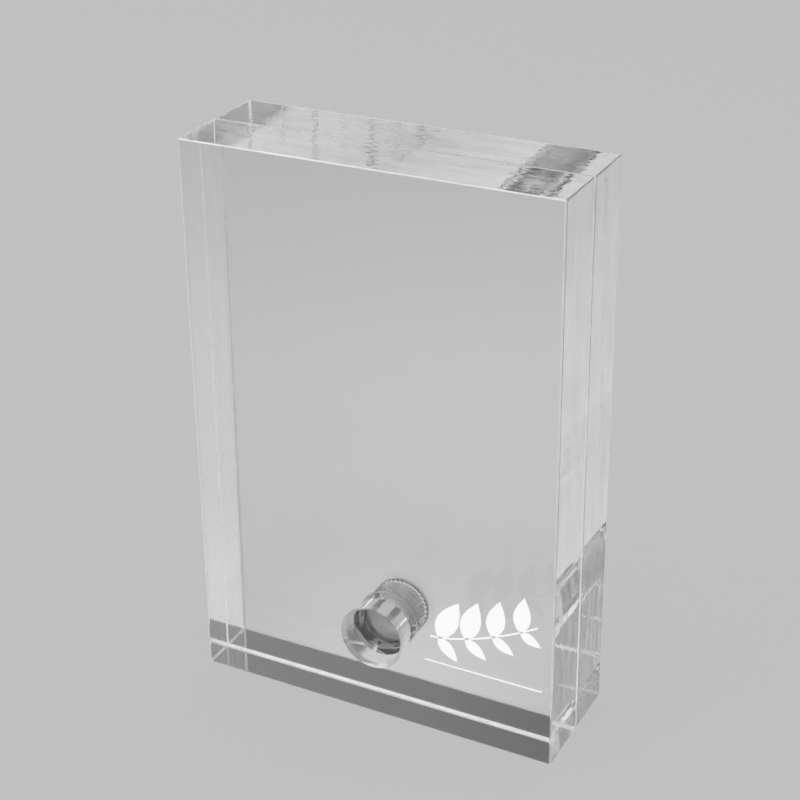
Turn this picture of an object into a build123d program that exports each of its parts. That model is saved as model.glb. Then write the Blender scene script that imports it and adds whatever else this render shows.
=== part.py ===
"""Clear acrylic block frame for a 4 x 6 inch photograph.

Two thick polished slabs stand face to face with a hairline slot between them for the picture.
One clear screw, low in the middle, holds them: its head sits deep in a stepped hole in the front
slab, and its shank turns in a clear threaded insert in the back slab.

Frame: origin at the middle of the base, +X to the right as seen from the front, +Y to the back,
+Z up. Millimetres.
"""

from build123d import *
import os

os.makedirs("parts", exist_ok=True)

# The two slabs
block_width = 101.6
block_height = 152.4
front_thickness = 16.7
back_thickness = 16.7
photo_gap = 0.5
polished_bevel = 0.3

# The stepped hole in the front slab
screw_height = 23.0
head_bore_diameter = 15.9
head_bore_depth = 12.3
mouth_chamfer = 1.0
neck_bore_diameter = 12.5

# The clear screw: a round head with a socket and a coin slot, a smooth neck and a coarse thread
head_recess = 4.6
head_clearance = 0.1
head_edge_chamfer = 0.4
socket_diameter = 11.8
socket_depth = 3.2
coin_slot_width = 1.2
coin_slot_tilt = 13
neck_clearance = 0.3
tip_depth = 30.6
tip_chamfer = 0.8

# The screw's thread, and the room that the insert leaves round it
thread_pitch = 2.5
thread_crest_diameter = 11.4
thread_height = 0.8
thread_crest_width = 0.6
thread_base_width = 1.5
thread_room = 0.2

# The washer under the head
washer_thickness = 0.8
washer_clearance = 0.15
seat_gap = 0.05

# The knurled insert, cemented into the back slab against a shoulder
insert_wall = 2.0
insert_length = 14.0
insert_collar = 1.2
insert_mouth_chamfer = 0.6
cement_line = 0.05
knurl_count = 38
knurl_depth = 0.35
insert_shoulder = 1.1

# Depths, measured inwards from the front face
back_slab_depth = front_thickness + photo_gap
total_depth = back_slab_depth + back_thickness
washer_depth = head_bore_depth - seat_gap - washer_thickness
head_end_depth = washer_depth - seat_gap
insert_depth = back_slab_depth + cement_line
insert_end_depth = insert_depth + insert_length

# Radii
head_bore_radius = head_bore_diameter / 2
neck_bore_radius = neck_bore_diameter / 2
head_radius = head_bore_radius - head_clearance
neck_radius = neck_bore_radius - neck_clearance
crest_radius = thread_crest_diameter / 2
root_radius = crest_radius - thread_height
groove_radius = crest_radius + thread_room
insert_bore_radius = root_radius + thread_room
insert_radius = groove_radius + insert_wall
insert_hole_radius = insert_radius + cement_line
back_hole_radius = insert_radius - insert_shoulder

# Planes square to the screw's axis, with their own Z pointing inwards from the front face
front_y = -total_depth / 2
face_plane = Plane(origin=(0, front_y, 0), x_dir=(1, 0, 0), z_dir=(0, 1, 0))
axis_plane = Plane(origin=(0, front_y, screw_height), x_dir=(1, 0, 0), z_dir=(0, 1, 0))
slab_centre = (0, -block_height / 2)


def rims(part):
    """A part's circular edges, grouped by their depth, the front ones first."""
    return part.edges().filter_by(GeomType.CIRCLE).group_by(Axis.Y)


def thread_ridge(line, crest, root, crest_width, base_width):
    """A ridge that winds along a thread's line, with a trapezium for its section."""
    start = line @ 0
    axis_point = Vector(0, start.Y, screw_height)
    outward = (start - axis_point).normalized()
    with BuildSketch(Plane(origin=axis_point, x_dir=outward, z_dir=line % 0)) as section:
        with BuildLine():
            Polyline(
                (crest, crest_width / 2),
                (root, base_width / 2),
                (root, -base_width / 2),
                (crest, -crest_width / 2),
                close=True,
            )
        make_face()
    return sweep(sections=section.sketch, path=line, is_frenet=True)


# The front slab, sawn and polished, with the stepped hole for the screw's head and neck
with BuildPart() as front_block:
    with BuildSketch(face_plane):
        with Locations(slab_centre):
            Rectangle(block_width, block_height)
    extrude(amount=front_thickness)
    chamfer(front_block.edges(), length=polished_bevel)
    with BuildSketch(axis_plane):
        Circle(head_bore_radius)
    extrude(amount=head_bore_depth, mode=Mode.SUBTRACT)
    with BuildSketch(axis_plane):
        Circle(neck_bore_radius)
    extrude(amount=front_thickness, mode=Mode.SUBTRACT)
    chamfer(rims(front_block)[0], length=mouth_chamfer)
    chamfer(rims(front_block)[-1], length=polished_bevel)

front_block.part.label = "front_block"
export_step(front_block.part, "parts/front_block.step")

# The back slab, with the insert's hole and a smaller hole on through its back face
with BuildPart() as back_block:
    with BuildSketch(face_plane.offset(back_slab_depth)):
        with Locations(slab_centre):
            Rectangle(block_width, block_height)
    extrude(amount=back_thickness)
    chamfer(back_block.edges(), length=polished_bevel)
    with BuildSketch(axis_plane.offset(back_slab_depth)):
        Circle(insert_hole_radius)
    extrude(amount=insert_end_depth - back_slab_depth, mode=Mode.SUBTRACT)
    with BuildSketch(axis_plane.offset(back_slab_depth)):
        Circle(back_hole_radius)
    extrude(amount=back_thickness, mode=Mode.SUBTRACT)
    chamfer(rims(back_block)[0], length=polished_bevel)
    chamfer(rims(back_block)[-1], length=polished_bevel)

back_block.part.label = "back_block"
export_step(back_block.part, "parts/back_block.step")

# The washer that spreads the head's load on the shoulder of the front slab
with BuildPart() as head_washer:
    with BuildSketch(axis_plane.offset(washer_depth)):
        Circle(head_bore_radius - washer_clearance)
        Circle(neck_radius + washer_clearance, mode=Mode.SUBTRACT)
    extrude(amount=washer_thickness)

head_washer.part.label = "head_washer"
export_step(head_washer.part, "parts/head_washer.step")

# The screw's ridge and the insert's groove start whole turns apart, so they mesh at rest
ridge_start_depth = insert_depth + thread_pitch / 2
ridge_length = tip_depth - tip_chamfer - thread_pitch / 2 - ridge_start_depth
groove_start_depth = ridge_start_depth - thread_pitch
groove_length = insert_length + thread_pitch

with BuildLine(axis_plane.offset(ridge_start_depth)) as ridge_line:
    Helix(thread_pitch, ridge_length, crest_radius, direction=axis_plane.z_dir)

with BuildLine(axis_plane.offset(groove_start_depth)) as groove_line:
    Helix(thread_pitch, groove_length, crest_radius, direction=axis_plane.z_dir)

screw_ridge = thread_ridge(
    ridge_line.line,
    crest_radius,
    root_radius - thread_room,
    thread_crest_width,
    thread_base_width,
)
insert_groove = thread_ridge(
    groove_line.line,
    groove_radius,
    root_radius - thread_room,
    thread_crest_width + 2 * thread_room,
    thread_base_width + 2 * thread_room,
)

# The clear screw, moulded in one piece
with BuildPart() as clear_screw:
    with BuildSketch(axis_plane.offset(head_recess)):
        Circle(head_radius)
    extrude(amount=head_end_depth - head_recess)
    chamfer(rims(clear_screw)[0], length=head_edge_chamfer)
    with BuildSketch(axis_plane.offset(head_recess)):
        Circle(socket_diameter / 2)
        Rectangle(coin_slot_width, head_bore_diameter, rotation=coin_slot_tilt)
    extrude(amount=socket_depth, mode=Mode.SUBTRACT)
    with BuildSketch(axis_plane.offset(head_end_depth)):
        Circle(neck_radius)
    extrude(amount=insert_depth - head_end_depth)
    with BuildSketch(axis_plane.offset(insert_depth)):
        Circle(root_radius)
    extrude(amount=tip_depth - insert_depth)
    chamfer(rims(clear_screw)[-1], length=tip_chamfer)
    add(screw_ridge)

clear_screw.part.label = "clear_screw"
export_step(clear_screw.part, "parts/clear_screw.step")

# The insert: a plain collar at the seam, and straight knurling that grips the cement behind it
with BuildPart() as threaded_insert:
    with BuildSketch(axis_plane.offset(insert_depth)):
        Circle(insert_radius)
    extrude(amount=insert_collar)
    with BuildSketch(axis_plane.offset(insert_depth + insert_collar)):
        Circle(insert_radius)
        with PolarLocations(insert_radius, knurl_count):
            Rectangle(knurl_depth * 2**0.5, knurl_depth * 2**0.5, rotation=45, mode=Mode.SUBTRACT)
    extrude(amount=insert_length - insert_collar)
    with BuildSketch(axis_plane.offset(insert_depth)):
        Circle(insert_bore_radius)
    extrude(amount=insert_length, mode=Mode.SUBTRACT)
    chamfer(rims(threaded_insert)[0].sort_by(SortBy.RADIUS)[0], length=insert_mouth_chamfer)
    add(insert_groove, mode=Mode.SUBTRACT)

threaded_insert.part.label = "threaded_insert"
export_step(threaded_insert.part, "parts/threaded_insert.step")
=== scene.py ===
import math

import bpy
from mathutils import Matrix, Vector


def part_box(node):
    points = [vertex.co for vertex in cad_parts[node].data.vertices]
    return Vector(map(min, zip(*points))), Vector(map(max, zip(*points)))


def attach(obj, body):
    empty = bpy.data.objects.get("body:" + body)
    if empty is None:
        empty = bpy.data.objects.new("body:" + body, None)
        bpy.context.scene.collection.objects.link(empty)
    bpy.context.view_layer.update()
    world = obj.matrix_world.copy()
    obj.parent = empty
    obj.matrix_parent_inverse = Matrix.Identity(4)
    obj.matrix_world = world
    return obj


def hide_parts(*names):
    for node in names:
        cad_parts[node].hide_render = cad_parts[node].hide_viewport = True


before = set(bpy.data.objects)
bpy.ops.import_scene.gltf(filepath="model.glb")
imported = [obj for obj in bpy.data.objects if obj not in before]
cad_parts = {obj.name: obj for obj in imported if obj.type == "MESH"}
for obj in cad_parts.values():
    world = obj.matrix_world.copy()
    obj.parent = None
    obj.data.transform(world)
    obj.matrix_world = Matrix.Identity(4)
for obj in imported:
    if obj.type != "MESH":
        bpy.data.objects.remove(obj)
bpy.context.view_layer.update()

# Studio
# A pale sweep under soft light, in a light surround with a bright horizon and a dark flag on each
# side, as black card is set beside clear things to draw their edges. Clear plastic needs long
# light paths, because each ray crosses many polished faces.
scene = bpy.context.scene
scene.view_settings.view_transform = "Standard"
scene.cycles.max_bounces = 32
scene.cycles.transmission_bounces = 32
scene.cycles.glossy_bounces = 24
scene.cycles.transparent_max_bounces = 24
mm = 0.001
pale_grey = 0.521
dark_surround = 0.176
horizon_glow = 0.78
ceiling_glow = 0.35
lamp_glow = 1.15
lamp_half_width = 0.42
lamp_half_depth = 0.3
side_glow = 0.62
side_fade = (0.27, 0.46)
side_gain = 1.65


def new_tree(owner):
    """An emptied node tree, as (nodes, link)."""
    owner.use_nodes = True
    tree = owner.node_tree
    tree.nodes.clear()

    def link(source, target):
        tree.links.new(source, target)

    return tree.nodes, link


def grey(value):
    """A neutral colour of one brightness."""
    return (value, value, value, 1.0)


def arithmetic(nodes, link, operation, *terms):
    """One sum worked out on outputs and plain numbers."""
    node = nodes.new("ShaderNodeMath")
    node.operation = operation
    for socket, term in zip(node.inputs, terms):
        if isinstance(term, float):
            socket.default_value = term
        else:
            link(term, socket)
    return node.outputs["Value"]


def graded(nodes, link, source, before, after=(0.0, 1.0)):
    """A value carried from one range to another, and held at both ends."""
    grade = nodes.new("ShaderNodeMapRange")
    grade.inputs["From Min"].default_value = before[0]
    grade.inputs["From Max"].default_value = before[1]
    grade.inputs["To Min"].default_value = after[0]
    grade.inputs["To Max"].default_value = after[1]
    link(source, grade.inputs["Value"])
    return grade.outputs["Result"]


def ramped(nodes, link, source, stops):
    """A ramp of greys through (place, brightness) stops, the first at 0 and the last at 1."""
    ramp = nodes.new("ShaderNodeValToRGB")
    elements = ramp.color_ramp.elements
    elements[0].color = grey(stops[0][1])
    elements[1].color = grey(stops[-1][1])
    for place, value in stops[1:-1]:
        elements.new(place).color = grey(value)
    link(source, ramp.inputs["Fac"])
    return ramp


def blended(nodes, link, factor, first, second, blend_type="MIX"):
    """Two colours mixed by a factor. Each is an output or a plain grey."""
    mix = nodes.new("ShaderNodeMix")
    mix.data_type = "RGBA"
    mix.blend_type = blend_type
    link(factor, mix.inputs["Factor"])
    for side, colour in (("A", first), ("B", second)):
        if isinstance(colour, tuple):
            mix.inputs[side].default_value = colour
        else:
            link(colour, mix.inputs[side])
    return mix.outputs["Result"]


world = bpy.data.worlds.new("studio_surround")
scene.world = world
nodes, link = new_tree(world)
place = nodes.new("ShaderNodeTexCoord")
direction = nodes.new("ShaderNodeSeparateXYZ")
link(place.outputs["Generated"], direction.inputs["Vector"])
sideways, depthwise, upward = direction.outputs
sky = ramped(nodes, link, upward, (
    (0.0, pale_grey),
    (0.005, pale_grey),
    (0.08, horizon_glow),
    (0.2, dark_surround),
    (0.66, dark_surround),
    (0.70, ceiling_glow),
    (1.0, ceiling_glow),
))
aside = arithmetic(nodes, link, "ABSOLUTE", sideways)
faded = nodes.new("ShaderNodeVectorMath")
faded.operation = "SCALE"
link(sky.outputs["Color"], faded.inputs[0])
link(graded(nodes, link, aside, side_fade, (1.0, side_gain)), faded.inputs["Scale"])
between_flags = ramped(nodes, link, aside, (
    (0.0, 1.0),
    (0.23, 1.0),
    (0.295, 0.0),
    (0.49, 0.0),
    (0.53, 1.0),
    (1.0, 1.0),
))
surround = blended(
    nodes, link, between_flags.outputs["Color"], faded.outputs["Vector"], grey(side_glow), "LIGHTEN"
)
across_lamp = arithmetic(nodes, link, "DIVIDE", sideways, upward)
along_lamp = arithmetic(nodes, link, "DIVIDE", depthwise, upward)
within_width = arithmetic(nodes, link, "COMPARE", across_lamp, 0.0, lamp_half_width)
within_depth = arithmetic(nodes, link, "COMPARE", along_lamp, 0.0, lamp_half_depth)
within_lamp = arithmetic(nodes, link, "MULTIPLY", within_width, within_depth)
overhead = arithmetic(nodes, link, "GREATER_THAN", upward, 0.0)
lamp_share = arithmetic(nodes, link, "MULTIPLY", within_lamp, overhead)
lit = blended(nodes, link, lamp_share, surround, grey(lamp_glow))
path = nodes.new("ShaderNodeLightPath")
seen = blended(nodes, link, path.outputs["Is Camera Ray"], lit, grey(pale_grey))
background = nodes.new("ShaderNodeBackground")
link(seen, background.inputs["Color"])
output = nodes.new("ShaderNodeOutputWorld")
link(background.outputs["Background"], output.inputs["Surface"])


def soft_lamp(name, place, target, size, power):
    """A square softbox at one place, aimed at another."""
    data = bpy.data.lights.new(name, "AREA")
    data.shape = "SQUARE"
    data.size = size
    data.energy = power
    lamp = bpy.data.objects.new(name, data)
    lamp.location = place
    lamp.rotation_euler = (Vector(target) - Vector(place)).to_track_quat("-Z", "Y").to_euler()
    lamp.visible_glossy = False
    lamp.visible_transmission = False
    scene.collection.objects.link(lamp)


lamp_target = (0.0, 0.0, 0.08)
soft_lamp("overhead_softbox", (0.2, 0.3, 2.4), lamp_target, 1.6, 18.0)
soft_lamp("front_softbox", (-1.4, -1.8, 1.6), lamp_target, 1.4, 52.0)

# Camera
# It looks down on the front from the right, as the photograph does, with a long lens.
camera_data = bpy.data.cameras.new("camera")
camera_data.lens = 82.7791
camera_data.sensor_width = 36.0
camera_data.shift_x = 0.075
camera_data.shift_y = -0.075
camera_data.clip_start = 0.01
camera_data.clip_end = 50.0
camera = bpy.data.objects.new("camera", camera_data)
scene.collection.objects.link(camera)
scene.camera = camera
camera_right = Vector((0.877409, 0.479136, -0.024125))
camera_down = Vector((0.182399, -0.379682, -0.906958))
camera_forward = Vector((-0.443716, 0.791373, -0.420530))
turned_camera = Matrix((camera_right, -camera_down, -camera_forward)).transposed().to_4x4()
turned_camera.translation = Vector((0.191082, -0.370132, 0.294873))
camera.matrix_world = turned_camera

# Floor
# A wide pale sheet just under the frame. It takes the frame's faint shadow. In reflections and through
# the clear plastic it shows a painted pool of light, brightest under the frame, that stands for the
# light the overhead softbox throws on it.
floor_radius = 8.0
floor_drop = 0.3 * mm
floor_albedo = 0.47
flat_share = 0.85
painted_pool_radius = 0.5
bpy.ops.mesh.primitive_circle_add(
    vertices=128, radius=floor_radius, fill_type="NGON", location=(0, 0, -floor_drop)
)
floor = bpy.context.object
floor.name = "floor"
floor_paint = bpy.data.materials.new("pale_floor")
nodes, link = new_tree(floor_paint)
spot = nodes.new("ShaderNodeTexCoord")
distance = nodes.new("ShaderNodeVectorMath")
distance.operation = "LENGTH"
link(spot.outputs["Object"], distance.inputs[0])
reach = arithmetic(nodes, link, "DIVIDE", distance.outputs["Value"], painted_pool_radius)
# Painted pool of light: for mirrored and refracted rays the floor glows brightest under the frame and
# dimmer further out.
painted_light_pool = ramped(nodes, link, reach, (
    (0.0, 0.95),
    (0.05, 0.92),
    (0.1, 0.78),
    (0.17, 0.69),
    (0.3, 0.70),
    (0.6, 0.57),
    (1.0, 0.46),
))
painted_light_pool.color_ramp.interpolation = "B_SPLINE"
path = nodes.new("ShaderNodeLightPath")
direct = path.outputs["Is Camera Ray"]
glow = nodes.new("ShaderNodeEmission")
link(blended(nodes, link, direct, painted_light_pool.outputs["Color"], grey(pale_grey)), glow.inputs["Color"])
cloth = nodes.new("ShaderNodeBsdfDiffuse")
cloth.inputs["Color"].default_value = grey(floor_albedo)
mirrored = arithmetic(nodes, link, "MAXIMUM", direct, path.outputs["Is Glossy Ray"])
seen = arithmetic(nodes, link, "MAXIMUM", mirrored, path.outputs["Is Transmission Ray"])
share = arithmetic(nodes, link, "MULTIPLY", seen, flat_share)
surface = nodes.new("ShaderNodeMixShader")
link(share, surface.inputs["Fac"])
link(cloth.outputs["BSDF"], surface.inputs[1])
link(glow.outputs["Emission"], surface.inputs[2])
output = nodes.new("ShaderNodeOutputMaterial")
link(surface.outputs["Shader"], output.inputs["Surface"])
floor.data.materials.append(floor_paint)

# Front slab
# Clear cast acrylic, sawn to the size of a 4 x 6 inch photograph, with flame-polished edges.
# A stepped hole with a wide mouth is turned through it near the foot, for the screw's head.
acrylic_ior = 1.49
polished_bevel = 0.5 * mm
print_film = 0.03 * mm
screw_height = 23.0 * mm
head_bore_radius = 7.95 * mm
head_bore_depth = 12.3 * mm
mouth_chamfer = 1.0 * mm
neck_bore_radius = 6.25 * mm
rim_width = 5.0 * mm
rim_gap = 1.1 * mm
socket_depth = 3.2 * mm
coin_slot_width = 1.2 * mm
coin_slot_tilt = math.radians(13)
turned_steps = 192
arris_steps = 3
arris_roundness = 0.6
crisp_share = 0.35
foot_seam_share = 1.5
front_rim_share = 0.65
shadow_clearness = 0.96
streak_contrast = (0.35, 0.62)
streak_tint = 0.84
streak_stretch = 0.6
cast_swell = 0.6e-6
overrun = 0.2 * mm
weld_distance = 0.0005 * mm
crease_angle = math.radians(25)
front_low, front_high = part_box("front_block")
screw_low, screw_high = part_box("clear_screw")
front_y = front_low.y
head_recess = screw_low.y - front_y


def clear_plastic(name, roughness, tint, clearness=1.0):
    """A clear plastic that lets lamplight through to the floor, as (material, nodes, link, shader)."""
    material = bpy.data.materials.new(name)
    nodes, link = new_tree(material)
    shader = nodes.new("ShaderNodeBsdfPrincipled")
    shader.inputs["Base Color"].default_value = grey(tint)
    shader.inputs["Roughness"].default_value = roughness
    shader.inputs["IOR"].default_value = acrylic_ior
    shader.inputs["Transmission Weight"].default_value = clearness
    through = nodes.new("ShaderNodeBsdfTransparent")
    through.inputs["Color"].default_value = grey(shadow_clearness)
    path = nodes.new("ShaderNodeLightPath")
    mixed = nodes.new("ShaderNodeMixShader")
    link(path.outputs["Is Shadow Ray"], mixed.inputs["Fac"])
    link(shader.outputs["BSDF"], mixed.inputs[1])
    link(through.outputs["BSDF"], mixed.inputs[2])
    output = nodes.new("ShaderNodeOutputMaterial")
    link(mixed.outputs["Shader"], output.inputs["Surface"])
    return material, nodes, link, shader


def stretched_noise(nodes, link, scale, detail=2.0):
    """Noise on the piece's own coordinates, with a scale for each axis."""
    place = nodes.new("ShaderNodeTexCoord")
    mapping = nodes.new("ShaderNodeMapping")
    mapping.inputs["Scale"].default_value = scale
    link(place.outputs["Object"], mapping.inputs["Vector"])
    noise = nodes.new("ShaderNodeTexNoise")
    noise.inputs["Scale"].default_value = 1.0
    noise.inputs["Detail"].default_value = detail
    link(mapping.outputs["Vector"], noise.inputs["Vector"])
    return noise.outputs["Fac"]


def add_bump(nodes, link, shader, height, depth):
    """Waves of one depth, in metres, on a shader's surface."""
    bump = nodes.new("ShaderNodeBump")
    bump.inputs["Strength"].default_value = 1.0
    bump.inputs["Distance"].default_value = depth
    link(height, bump.inputs["Height"])
    link(bump.outputs["Normal"], shader.inputs["Normal"])


def polished_edge(name, scale, ripple, roughness=0.0, clearness=1.0):
    """Sawn and flame-polished acrylic: long ripples along the cut, and faint grey streaks."""
    material, nodes, link, shader = clear_plastic(name, roughness, 1.0, clearness)
    add_bump(nodes, link, shader, stretched_noise(nodes, link, scale, 3.0), ripple)
    streaks = stretched_noise(nodes, link, [share * streak_stretch for share in scale], 4.0)
    tone = graded(nodes, link, streaks, streak_contrast, (streak_tint, 1.0))
    link(tone, shader.inputs["Base Color"])
    return material


def cast_face(name, foot_shade, head_shade, rim_foot_shade, rim_head_shade):
    """The sheet's own cast face: flat and clear, with painted shade in its colour that is darkest at
    the foot and fades up the slab.

    A rim along its left edge has a lighter painted shade of its own.
    """
    material, nodes, link, shader = clear_plastic(name, 0.0, 1.0)
    add_bump(nodes, link, shader, stretched_noise(nodes, link, (25.0, 25.0, 25.0)), cast_swell)
    place = nodes.new("ShaderNodeTexCoord")
    spot = nodes.new("ShaderNodeSeparateXYZ")
    link(place.outputs["Object"], spot.inputs["Vector"])
    height = (0.0, front_high.z)
    rim_end = front_low.x + rim_width
    # Painted shade: the face's colour is darker towards the foot and lighter up the slab, and lighter
    # along the left rim.
    painted_shade_ramp = graded(nodes, link, spot.outputs["Z"], height, (foot_shade, head_shade))
    rim_painted_shade_ramp = graded(nodes, link, spot.outputs["Z"], height, (rim_foot_shade, rim_head_shade))
    past_rim = graded(nodes, link, spot.outputs["X"], (rim_end, rim_end + mm))
    link(blended(nodes, link, past_rim, rim_painted_shade_ramp, painted_shade_ramp), shader.inputs["Base Color"])
    return material


def drilled_wall(name, roughness, tint, clearness):
    """A drilled hole's wall: glossy, with fine flutes along it."""
    material, nodes, link, shader = clear_plastic(name, roughness, tint, clearness)
    flutes = stretched_noise(nodes, link, (900.0, 110.0, 900.0), 3.0)
    add_bump(nodes, link, shader, flutes, 60e-6)
    return material


def matched_film(name, milk_share):
    """A film that matches the plastic on both sides, as cement does, with milky patches."""
    material = bpy.data.materials.new(name)
    nodes, link = new_tree(material)
    milk = stretched_noise(nodes, link, (400.0, 900.0, 400.0))
    cloud = graded(nodes, link, milk, (0.45, 0.75), (0.0, milk_share))
    through = nodes.new("ShaderNodeBsdfTransparent")
    white = nodes.new("ShaderNodeBsdfDiffuse")
    white.inputs["Color"].default_value = grey(0.9)
    mixed = nodes.new("ShaderNodeMixShader")
    link(cloud, mixed.inputs["Fac"])
    link(through.outputs["BSDF"], mixed.inputs[1])
    link(white.outputs["BSDF"], mixed.inputs[2])
    output = nodes.new("ShaderNodeOutputMaterial")
    link(mixed.outputs["Shader"], output.inputs["Surface"])
    return material


outer_face = cast_face("cast_outer_face", 1.0, 1.0, 1.0, 1.0)
# The inner faces carry painted shade: darker towards the foot, lighter along the left rim.
inner_face_painted_shade = cast_face("cast_inner_face_painted_shade", 0.68, 0.92, 0.86, 0.93)
top_edge = polished_edge("top_edge_polished_along_x", (70.0, 440.0, 440.0), 125e-6)
foot_edge = polished_edge("foot_edge_polished_along_x", (110.0, 450.0, 450.0), 12e-6)
tall_edge = polished_edge("edge_polished_along_z", (450.0, 450.0, 90.0), 50e-6, 0.0, 0.9)
melted_arris = polished_edge("melted_arris", (300.0, 300.0, 300.0), 4e-6, 0.1, 0.8)
satin_arris = polished_edge("satin_arris", (300.0, 300.0, 300.0), 4e-6, 0.15, 0.55)
clear_arris = polished_edge("clear_arris", (300.0, 300.0, 300.0), 4e-6)
bore_wall = drilled_wall("bore_wall", 0.05, 0.62, 0.7)
tight_wall = drilled_wall("wall_beside_head", 0.0, 0.8, 1.0)
front_number, back_number, top_number, foot_number, end_number, satin_number, clear_number = range(1, 8)
square_on = 0.999
tilted = 0.1


def select_nothing():
    """Leaves object mode with nothing selected."""
    if bpy.context.mode != "OBJECT":
        bpy.ops.object.mode_set(mode="OBJECT")
    bpy.ops.object.select_all(action="DESELECT")


def settle(piece):
    """Puts a piece's place into its mesh, with its faces outward and its curves smooth."""
    select_nothing()
    piece.select_set(True)
    bpy.context.view_layer.objects.active = piece
    bpy.ops.object.transform_apply(location=True, rotation=True, scale=True)
    bpy.ops.object.mode_set(mode="EDIT")
    bpy.ops.mesh.select_all(action="SELECT")
    bpy.ops.mesh.remove_doubles(threshold=weld_distance)
    bpy.ops.mesh.normals_make_consistent(inside=False)
    bpy.ops.object.mode_set(mode="OBJECT")
    bpy.ops.object.shade_smooth_by_angle(angle=crease_angle)


def apply_modifier(piece, kind, **settings):
    """Adds one modifier with its settings, and applies it."""
    modifier = piece.modifiers.new(kind.lower(), kind)
    for setting, value in settings.items():
        setattr(modifier, setting, value)
    bpy.context.view_layer.objects.active = piece
    bpy.ops.object.modifier_apply(modifier=modifier.name)


def drawn_line(name, points):
    """A line of edges through a list of points, drawn from a single vertex."""
    select_nothing()
    bpy.ops.mesh.primitive_plane_add(size=mm, location=points[0])
    piece = bpy.context.object
    piece.name = name
    bpy.ops.object.mode_set(mode="EDIT")
    bpy.ops.mesh.select_all(action="SELECT")
    bpy.ops.mesh.merge(type="CENTER")
    for start, end in zip(points, points[1:]):
        step = Vector(end) - Vector(start)
        bpy.ops.mesh.extrude_vertices_move(TRANSFORM_OT_translate={"value": step})
    bpy.ops.object.mode_set(mode="OBJECT")
    bpy.ops.object.transform_apply(location=True, rotation=True, scale=True)
    return piece


def turned(name, outline, steps=turned_steps):
    """A piece turned about the screw's axis from (depth behind the front face, radius) points."""
    points = [(radius, front_y + depth, screw_height) for depth, radius in outline]
    piece = drawn_line(name, points)
    bpy.ops.object.mode_set(mode="EDIT")
    bpy.ops.mesh.select_all(action="SELECT")
    bpy.ops.mesh.spin(
        steps=steps, angle=2 * math.pi, center=(0, front_y, screw_height), axis=(0, 1, 0)
    )
    bpy.ops.object.mode_set(mode="OBJECT")
    settle(piece)
    return piece


def keep_flat(piece):
    """Keeps a slab's faces and edges truly flat beside their rounded arrises."""
    for face in piece.data.polygons:
        if front_number <= face.material_index <= end_number:
            face.use_smooth = False


def cut(piece, tool):
    """Cuts a tool's shape out of a piece. The cut faces take the tool's material."""
    apply_modifier(
        piece, "BOOLEAN", object=tool, operation="DIFFERENCE", solver="EXACT", material_mode="TRANSFER"
    )
    bpy.data.objects.remove(tool)


def slab(name, low, high, front_paint, back_paint):
    """A block with melted arrises. Its faces and edges each take their own finish."""
    select_nothing()
    bpy.ops.mesh.primitive_cube_add(size=1, location=(low + high) / 2, scale=high - low)
    piece = bpy.context.object
    piece.name = name
    bpy.ops.object.transform_apply(location=True, rotation=True, scale=True)
    widths = piece.data.attributes.new("bevel_weight_edge", "FLOAT", "EDGE")
    for edge in piece.data.edges:
        first, last = (piece.data.vertices[number].co for number in edge.vertices)
        middle = (first + last) / 2
        share = 1.0
        if abs(middle.y) < polished_bevel:
            share = crisp_share
            if middle.z < polished_bevel:
                share = foot_seam_share
            elif middle.x > high.x - polished_bevel:
                share = 1.0
        elif middle.z > high.z - polished_bevel and middle.y < front_y + polished_bevel:
            share = front_rim_share
        widths.data[edge.index].value = share
    apply_modifier(
        piece,
        "BEVEL",
        width=polished_bevel,
        segments=arris_steps,
        profile=arris_roundness,
        limit_method="WEIGHT",
    )
    finishes = (
        melted_arris, front_paint, back_paint, top_edge, foot_edge, tall_edge, satin_arris, clear_arris
    )
    for paint in finishes:
        piece.data.materials.append(paint)
    beside_arris = 2 * polished_bevel
    for face in piece.data.polygons:
        if face.normal.y < -square_on:
            face.material_index = front_number
        elif face.normal.y > square_on:
            face.material_index = back_number
        elif face.normal.z > square_on:
            face.material_index = top_number
        elif face.normal.z < -square_on:
            face.material_index = foot_number
        elif abs(face.normal.x) > square_on:
            face.material_index = end_number
        elif face.center.z < beside_arris and (
            abs(face.normal.x) > tilted or -beside_arris < face.center.y < 0
        ):
            face.material_index = satin_number
        elif face.normal.z > tilted and face.center.y < front_y + beside_arris:
            face.material_index = satin_number
        elif abs(face.center.y) < beside_arris and face.center.x < high.x - beside_arris:
            face.material_index = clear_number
    return piece


front_slab = slab(
    "front_slab", front_low + Vector((0, print_film, 0)), front_high, outer_face, inner_face_painted_shade
)
front_thickness = front_high.y - front_y
stepped_tool = turned("stepped_tool", [
    (-overrun, 0),
    (-overrun, head_bore_radius + mouth_chamfer + overrun),
    (mouth_chamfer, head_bore_radius),
    (head_recess, head_bore_radius),
    (head_recess + rim_gap, head_bore_radius),
    (head_recess + socket_depth, head_bore_radius),
    (head_bore_depth, head_bore_radius),
    (head_bore_depth, neck_bore_radius),
    (front_thickness - polished_bevel, neck_bore_radius),
    (front_thickness + overrun, neck_bore_radius + polished_bevel + overrun),
    (front_thickness + overrun, 0),
])
stepped_tool.data.materials.append(bore_wall)
stepped_tool.data.materials.append(tight_wall)
tight_number = 1
slot_side = Vector((math.cos(coin_slot_tilt), 0, -math.sin(coin_slot_tilt)))
for face in stepped_tool.data.polygons:
    outward = Vector((face.center.x, 0, face.center.z - screw_height))
    depth = face.center.y - front_y
    on_wall = abs(outward.length - head_bore_radius) < overrun and abs(face.normal.y) < 0.5
    past_slot = depth > head_recess + socket_depth or abs(outward.dot(slot_side)) > coin_slot_width / 2
    if on_wall and past_slot and depth > head_recess + rim_gap:
        face.material_index = tight_number
cut(front_slab, stepped_tool)
settle(front_slab)
keep_flat(front_slab)
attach(front_slab, "front")
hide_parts("front_block")

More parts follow.
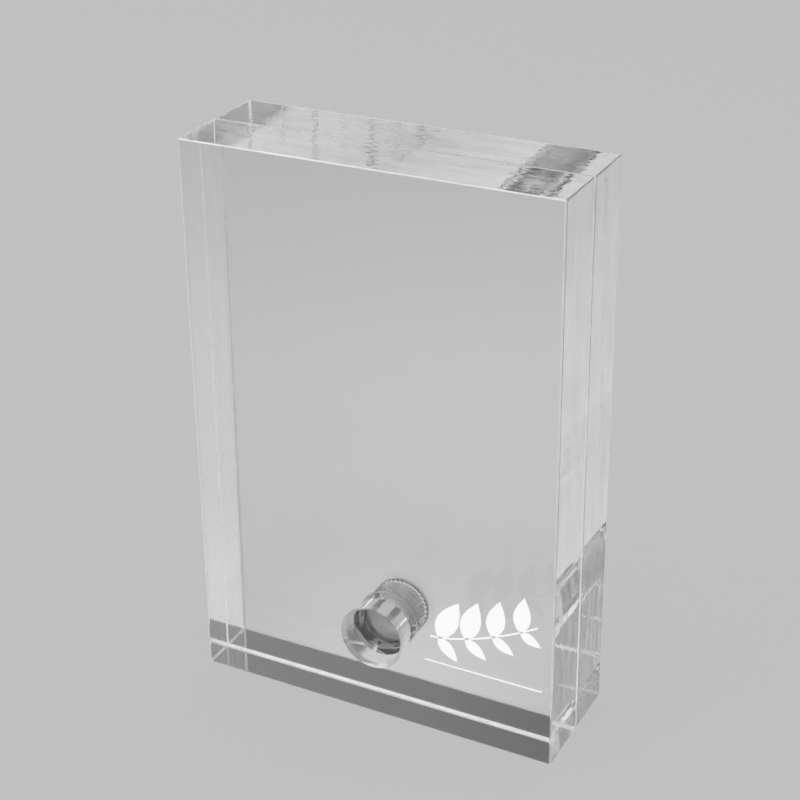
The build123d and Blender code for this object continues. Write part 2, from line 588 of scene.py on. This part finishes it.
# Back slab
# The same acrylic and the same size, behind a slot for the photograph. A blind hole takes the
# insert, and a smaller one runs on from it through the back.
back_low, back_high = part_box("back_block")
insert_low, insert_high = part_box("threaded_insert")
cement_line = 0.05 * mm
back_hole_radius = 6.8 * mm
insert_radius = (insert_high.x - insert_low.x) / 2
insert_hole_radius = insert_radius + cement_line
back_depth = back_low.y - front_y
total_depth = back_high.y - front_y
insert_end_depth = insert_high.y - front_y
cement = matched_film("clear_cement", 0.25)
back_slab = slab("back_slab", back_low, back_high, inner_face_painted_shade, outer_face)
hole_tool = turned("hole_tool", [
    (back_depth - overrun, 0),
    (back_depth - overrun, insert_hole_radius + polished_bevel + overrun),
    (back_depth + polished_bevel, insert_hole_radius),
    (insert_end_depth, insert_hole_radius),
    (insert_end_depth, back_hole_radius),
    (total_depth - polished_bevel, back_hole_radius),
    (total_depth + overrun, back_hole_radius + polished_bevel + overrun),
    (total_depth + overrun, 0),
])
hole_tool.data.materials.append(bore_wall)
hole_tool.data.materials.append(cement)
cement_number = 1
for face in hole_tool.data.polygons:
    across = Vector((face.center.x, 0, face.center.z - screw_height)).length
    if abs(across - insert_hole_radius) < cement_line:
        face.material_index = cement_number
cut(back_slab, hole_tool)
settle(back_slab)
keep_flat(back_slab)
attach(back_slab, "back")
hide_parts("back_block")

# Threaded insert
# Clear moulded plastic with straight knurling, pushed into its hole on a line of cement.
# A plain collar meets the seam. A coarse thread, frosted by the tap, runs all the way through.
insert_collar = 1.2 * mm
insert_mouth = 0.6 * mm
knurl_count = 38
knurl_steps = 8
knurl_depth = 0.35 * mm
thread_pitch = 2.5 * mm
crest_radius = 5.7 * mm
thread_height = 0.8 * mm
thread_crest_width = 0.6 * mm
thread_base_width = 1.5 * mm
thread_room = 0.2 * mm
thread_steps = 96
insert_depth = insert_low.y - front_y
ridge_start_depth = insert_depth + thread_pitch / 2
root_radius = crest_radius - thread_height


def moulded_plastic(name, roughness, tint, ior=acrylic_ior, clearness=1.0):
    """Clear moulded plastic: a slightly soft gloss over faint flow waves."""
    material, nodes, link, shader = clear_plastic(name, roughness, tint, clearness)
    shader.inputs["IOR"].default_value = ior
    flow = stretched_noise(nodes, link, (350.0, 350.0, 350.0), 3.0)
    add_bump(nodes, link, shader, flow, 5e-6)
    haze = graded(nodes, link, flow, (0.0, 1.0), (roughness * 0.5, roughness * 1.5))
    link(haze, shader.inputs["Roughness"])
    return material


def threaded_rod(name, start_depth, end_depth, crest, root, crest_width, base_width):
    """A right-hand threaded rod between two depths, in step with the rest of the thread."""
    turns = math.ceil((end_depth - start_depth) / thread_pitch) + 3
    first = ridge_start_depth - thread_pitch * math.ceil(
        (ridge_start_depth - start_depth) / thread_pitch + 1
    )
    profile = [
        (root, -thread_pitch / 2),
        (root, -base_width / 2),
        (crest, -crest_width / 2),
        (crest, crest_width / 2),
        (root, base_width / 2),
        (root, thread_pitch / 2),
    ]
    points = [(radius, front_y + first + along, 0) for radius, along in profile]
    piece = drawn_line(name, points)
    apply_modifier(
        piece,
        "SCREW",
        axis="Y",
        angle=2 * math.pi,
        screw_offset=thread_pitch,
        iterations=turns,
        steps=thread_steps,
        render_steps=thread_steps,
    )
    piece.location.z = screw_height
    settle(piece)
    bpy.ops.object.mode_set(mode="EDIT")
    for depth, outward in ((start_depth, -1), (end_depth, 1)):
        bpy.ops.mesh.select_all(action="SELECT")
        bpy.ops.mesh.bisect(
            plane_co=(0, front_y + depth, screw_height),
            plane_no=(0, outward, 0),
            use_fill=True,
            clear_outer=True,
        )
    bpy.ops.object.mode_set(mode="OBJECT")
    settle(piece)
    return piece


moulded = moulded_plastic("clear_moulded_plastic", 0.01, 1.0)
knurled = moulded_plastic("knurling_in_cement", 0.01, 1.0, 1.16)
satin_thread = moulded_plastic("satin_thread_plastic", 0.6, 0.9)
frosted_groove = moulded_plastic("frosted_groove_plastic", 0.6, 0.62, acrylic_ior, 0.35)
collar_end = insert_depth + insert_collar
threaded_insert = turned("insert", [
    (insert_depth, 0),
    (insert_depth, insert_radius),
    (collar_end, insert_radius),
    (collar_end + cement_line, insert_radius),
    (insert_end_depth, insert_radius),
    (insert_end_depth, 0),
], steps=knurl_count * knurl_steps)
groove_half_width = knurl_depth
tooth_angle = 2 * math.pi / knurl_count
for vertex in threaded_insert.data.vertices:
    across = vertex.co.x
    up = vertex.co.z - screw_height
    radius = math.hypot(across, up)
    behind_collar = vertex.co.y - front_y > collar_end + cement_line / 2
    if behind_collar and radius > insert_radius * 0.99:
        angle = math.atan2(up, across)
        off_groove = abs(angle - tooth_angle * round(angle / tooth_angle)) * insert_radius
        cut_depth = max(0.0, knurl_depth * (1 - off_groove / groove_half_width))
        share_left = (radius - cut_depth) / radius
        vertex.co.x = across * share_left
        vertex.co.z = screw_height + up * share_left
threaded_insert.data.update()
threaded_insert.data.materials.append(moulded)
threaded_insert.data.materials.append(knurled)
knurled_number = 1
for face in threaded_insert.data.polygons:
    across = Vector((face.center.x, 0, face.center.z - screw_height)).length
    if across > insert_radius - 1.5 * knurl_depth and abs(face.normal.y) < 0.5:
        face.material_index = knurled_number
mouth_tool = turned("mouth_tool", [
    (insert_depth - overrun, 0),
    (insert_depth - overrun, root_radius + thread_room + insert_mouth + overrun),
    (insert_depth + insert_mouth, root_radius + thread_room),
    (insert_depth + insert_mouth, 0),
])
mouth_tool.data.materials.append(moulded)
cut(threaded_insert, mouth_tool)
tap = threaded_rod(
    "tap",
    insert_depth - overrun,
    insert_end_depth + overrun,
    crest_radius + thread_room,
    root_radius + thread_room,
    thread_crest_width + 2 * thread_room,
    thread_base_width + 2 * thread_room,
)
tap.data.materials.append(frosted_groove)
cut(threaded_insert, tap)
settle(threaded_insert)
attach(threaded_insert, "back")
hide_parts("threaded_insert")

# Head washer
# A thin ring between the screw's head and the shoulder in the front slab, tinted almost black as
# painted shade in the gap.
# It keeps the turning head from marking the acrylic.
washer_low, washer_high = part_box("head_washer")
washer_radius = (washer_high.x - washer_low.x) / 2
washer_hole_radius = 6.1 * mm
washer_round = 0.12 * mm
washer_depth = washer_low.y - front_y
washer_end_depth = washer_high.y - front_y
head_washer = turned("washer", [
    (washer_depth, washer_hole_radius),
    (washer_depth, washer_radius - washer_round),
    (washer_depth + washer_round, washer_radius),
    (washer_end_depth - washer_round, washer_radius),
    (washer_end_depth, washer_radius - washer_round),
    (washer_end_depth, washer_hole_radius),
    (washer_depth, washer_hole_radius),
])
# Painted shade: the washer is tinted almost black to stand for the shade in the gap around the head.
head_washer.data.materials.append(moulded_plastic("washer_painted_shade_plastic", 0.0, 0.1))
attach(head_washer, "washer")
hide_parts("head_washer")

# Clear screw
# Moulded in one piece. The round head has a socket and a coin slot across it, the neck is plain,
# and the shank's coarse thread turns in the insert.
head_radius = 7.85 * mm
head_chamfer = 0.4 * mm
socket_radius = 5.9 * mm
neck_radius = 5.95 * mm
tip_chamfer = 0.8 * mm
socket_round = 0.3 * mm
tip_depth = screw_high.y - front_y
head_end_depth = washer_depth - cement_line
socket_floor = head_recess + socket_depth
clear_screw = turned("screw", [
    (socket_floor, 0),
    (socket_floor, socket_radius - socket_round),
    (socket_floor - socket_round, socket_radius),
    (head_recess, socket_radius),
    (head_recess, head_radius - head_chamfer),
    (head_recess + head_chamfer, head_radius),
    (head_end_depth, head_radius),
    (head_end_depth, neck_radius),
    (insert_depth, neck_radius),
    (insert_depth, root_radius),
    (insert_depth + thread_pitch / 2, root_radius),
    (insert_depth + thread_pitch / 2, 0),
])
clear_screw.data.materials.append(moulded)
shank = threaded_rod(
    "shank",
    insert_depth + thread_pitch / 4,
    tip_depth,
    crest_radius,
    root_radius,
    thread_crest_width,
    thread_base_width,
)
tip_envelope = turned("tip_envelope", [
    (insert_depth, 0),
    (insert_depth, crest_radius + overrun),
    (tip_depth - tip_chamfer - overrun, crest_radius + overrun),
    (tip_depth + overrun, crest_radius - tip_chamfer - overrun),
    (tip_depth + overrun, 0),
])
apply_modifier(shank, "BOOLEAN", object=tip_envelope, operation="INTERSECT", solver="EXACT")
bpy.data.objects.remove(tip_envelope)
shank.data.materials.append(moulded)
apply_modifier(clear_screw, "BOOLEAN", object=shank, operation="UNION", solver="EXACT")
bpy.data.objects.remove(shank)
select_nothing()
bpy.ops.mesh.primitive_cube_add(
    size=1,
    location=(0, front_y + (head_recess - overrun + socket_floor) / 2, screw_height),
    rotation=(0, coin_slot_tilt - math.pi / 2, 0),
    scale=(2 * head_bore_radius, socket_depth + overrun, coin_slot_width),
)
slot_cutter = bpy.context.object
slot_cutter.data.materials.append(moulded)
cut(clear_screw, slot_cutter)
settle(clear_screw)
clear_screw.data.materials.append(moulded_plastic("socket_floor_plastic", 0.5, 0.95))
# Painted shade: the socket's wall is tinted almost black, for the shade inside the recess.
clear_screw.data.materials.append(moulded_plastic("socket_wall_painted_shade_plastic", 0.1, 0.12))
clear_screw.data.materials.append(moulded_plastic("head_rim_plastic", 0.0, 1.0))
clear_screw.data.materials.append(satin_thread)
socket_floor_number, shaded_socket_wall_number, head_rim_number, thread_number = range(1, 5)
for face in clear_screw.data.polygons:
    depth = face.center.y - front_y
    across = Vector((face.center.x, 0, face.center.z - screw_height)).length
    if head_recess + overrun < depth < socket_floor + overrun / 2 and across < socket_radius:
        face.material_index = socket_floor_number if face.normal.y < -0.9 else shaded_socket_wall_number
    elif across > head_radius - overrun and abs(face.normal.y) < 0.3:
        face.material_index = head_rim_number
    elif depth > insert_depth + cement_line and across < crest_radius + cement_line:
        face.material_index = thread_number
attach(clear_screw, "screw")
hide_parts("clear_screw")

# White print
# A thin film of white ink on the front face, low on the right: a plain leafy sprig over a rule.
# It is screen printed on the front slab before the frame is put together.
ink_thickness = 0.02 * mm
ink_gap = 0.005 * mm
sprig_left = 17.0 * mm
sprig_right = 46.5 * mm
sprig_foot = 29.0 * mm
sprig_rise = 11.0 * mm
leaf_count = 4
leaf_length = 14.0 * mm
leaf_width = 6.4 * mm
leaf_spread = math.radians(56)
first_leaf_share = 0.08
last_leaf_share = 0.84
largest_leaf = 0.95
leaf_taper = 0.25
lower_leaf_share = 0.62
rule_overhang = 1.5 * mm
stem_width = 0.55 * mm
stem_steps = 24
leaf_points = 32
rule_height = 21.5 * mm
rule_width = 0.45 * mm
ink_front = front_y + print_film - ink_gap - ink_thickness

ink = bpy.data.materials.new("white_screen_ink")
nodes, link = new_tree(ink)
shader = nodes.new("ShaderNodeBsdfPrincipled")
shader.inputs["Roughness"].default_value = 0.45
grain = stretched_noise(nodes, link, (2500.0, 2500.0, 2500.0))
add_bump(nodes, link, shader, grain, 3e-6)
cover = graded(nodes, link, grain, (0.0, 1.0), (0.93, 0.99))
link(cover, shader.inputs["Base Color"])
output = nodes.new("ShaderNodeOutputMaterial")
link(shader.outputs["BSDF"], output.inputs["Surface"])


def sprig_point(share):
    """A point (x, z) on the sprig's stem, from its foot at 0 to its tip at 1."""
    across = sprig_left + (sprig_right - sprig_left) * share
    up = sprig_foot + sprig_rise * (share ** 1.6)
    return across, up


def inked_leaf(name, place, angle, length, width):
    """A flat pointed leaf, drawn from a disc."""
    select_nothing()
    bpy.ops.mesh.primitive_circle_add(
        vertices=leaf_points,
        radius=0.5,
        fill_type="NGON",
        location=(0, 0, 0),
        rotation=(math.pi / 2, 0, 0),
    )
    leaf = bpy.context.object
    leaf.name = name
    bpy.ops.object.transform_apply(location=True, rotation=True, scale=True)
    for vertex in leaf.data.vertices:
        along = vertex.co.x + 0.5
        narrow = math.sin(math.pi * along ** 0.8) ** 0.9
        side = math.copysign(1.0, vertex.co.z) if abs(vertex.co.z) > 1e-6 else 0.0
        vertex.co.x = along * length
        vertex.co.z = side * narrow * width / 2
    leaf.rotation_euler.y = -angle
    leaf.location = (place[0], ink_front, place[1])
    bpy.ops.object.transform_apply(location=True, rotation=True, scale=True)
    return leaf


def inked_stroke(name, points, width):
    """A flat line of ink of one width, through (x, z) points."""
    ribbon = drawn_line(name, [(x, ink_front, z - width / 2) for x, z in points])
    bpy.ops.object.mode_set(mode="EDIT")
    bpy.ops.mesh.select_all(action="SELECT")
    bpy.ops.mesh.extrude_edges_move(TRANSFORM_OT_translate={"value": (0, 0, width)})
    bpy.ops.object.mode_set(mode="OBJECT")
    return ribbon


inked = []
stem_points = [sprig_point(step / stem_steps) for step in range(stem_steps + 1)]
inked.append(inked_stroke("stem", stem_points, stem_width))
for number in range(leaf_count):
    share = first_leaf_share + (last_leaf_share - first_leaf_share) * number / (leaf_count - 1)
    ahead = sprig_point(share + 0.02)
    here = sprig_point(share)
    heading = math.atan2(ahead[1] - here[1], ahead[0] - here[0])
    size = largest_leaf - leaf_taper * share
    for side in (1, -1):
        leaf_angle = heading + side * leaf_spread
        if side < 0:
            size = size * lower_leaf_share
        inked.append(
            inked_leaf(
                "leaf_%d_%d" % (number, side > 0),
                here,
                leaf_angle,
                leaf_length * size,
                leaf_width * size,
            )
        )
rule_points = [
    (sprig_left - rule_overhang, rule_height),
    (sprig_right + rule_overhang, rule_height),
]
inked.append(inked_stroke("rule", rule_points, rule_width))
select_nothing()
for stroke in inked:
    stroke.select_set(True)
white_print = inked[0]
bpy.context.view_layer.objects.active = white_print
bpy.ops.object.join()
white_print.name = "white_print"
bpy.ops.object.mode_set(mode="EDIT")
bpy.ops.mesh.select_all(action="SELECT")
bpy.ops.mesh.extrude_region_move(TRANSFORM_OT_translate={"value": (0, ink_thickness, 0)})
bpy.ops.mesh.select_all(action="SELECT")
bpy.ops.mesh.normals_make_consistent(inside=False)
bpy.ops.object.mode_set(mode="OBJECT")
white_print.data.materials.append(ink)
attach(white_print, "front")
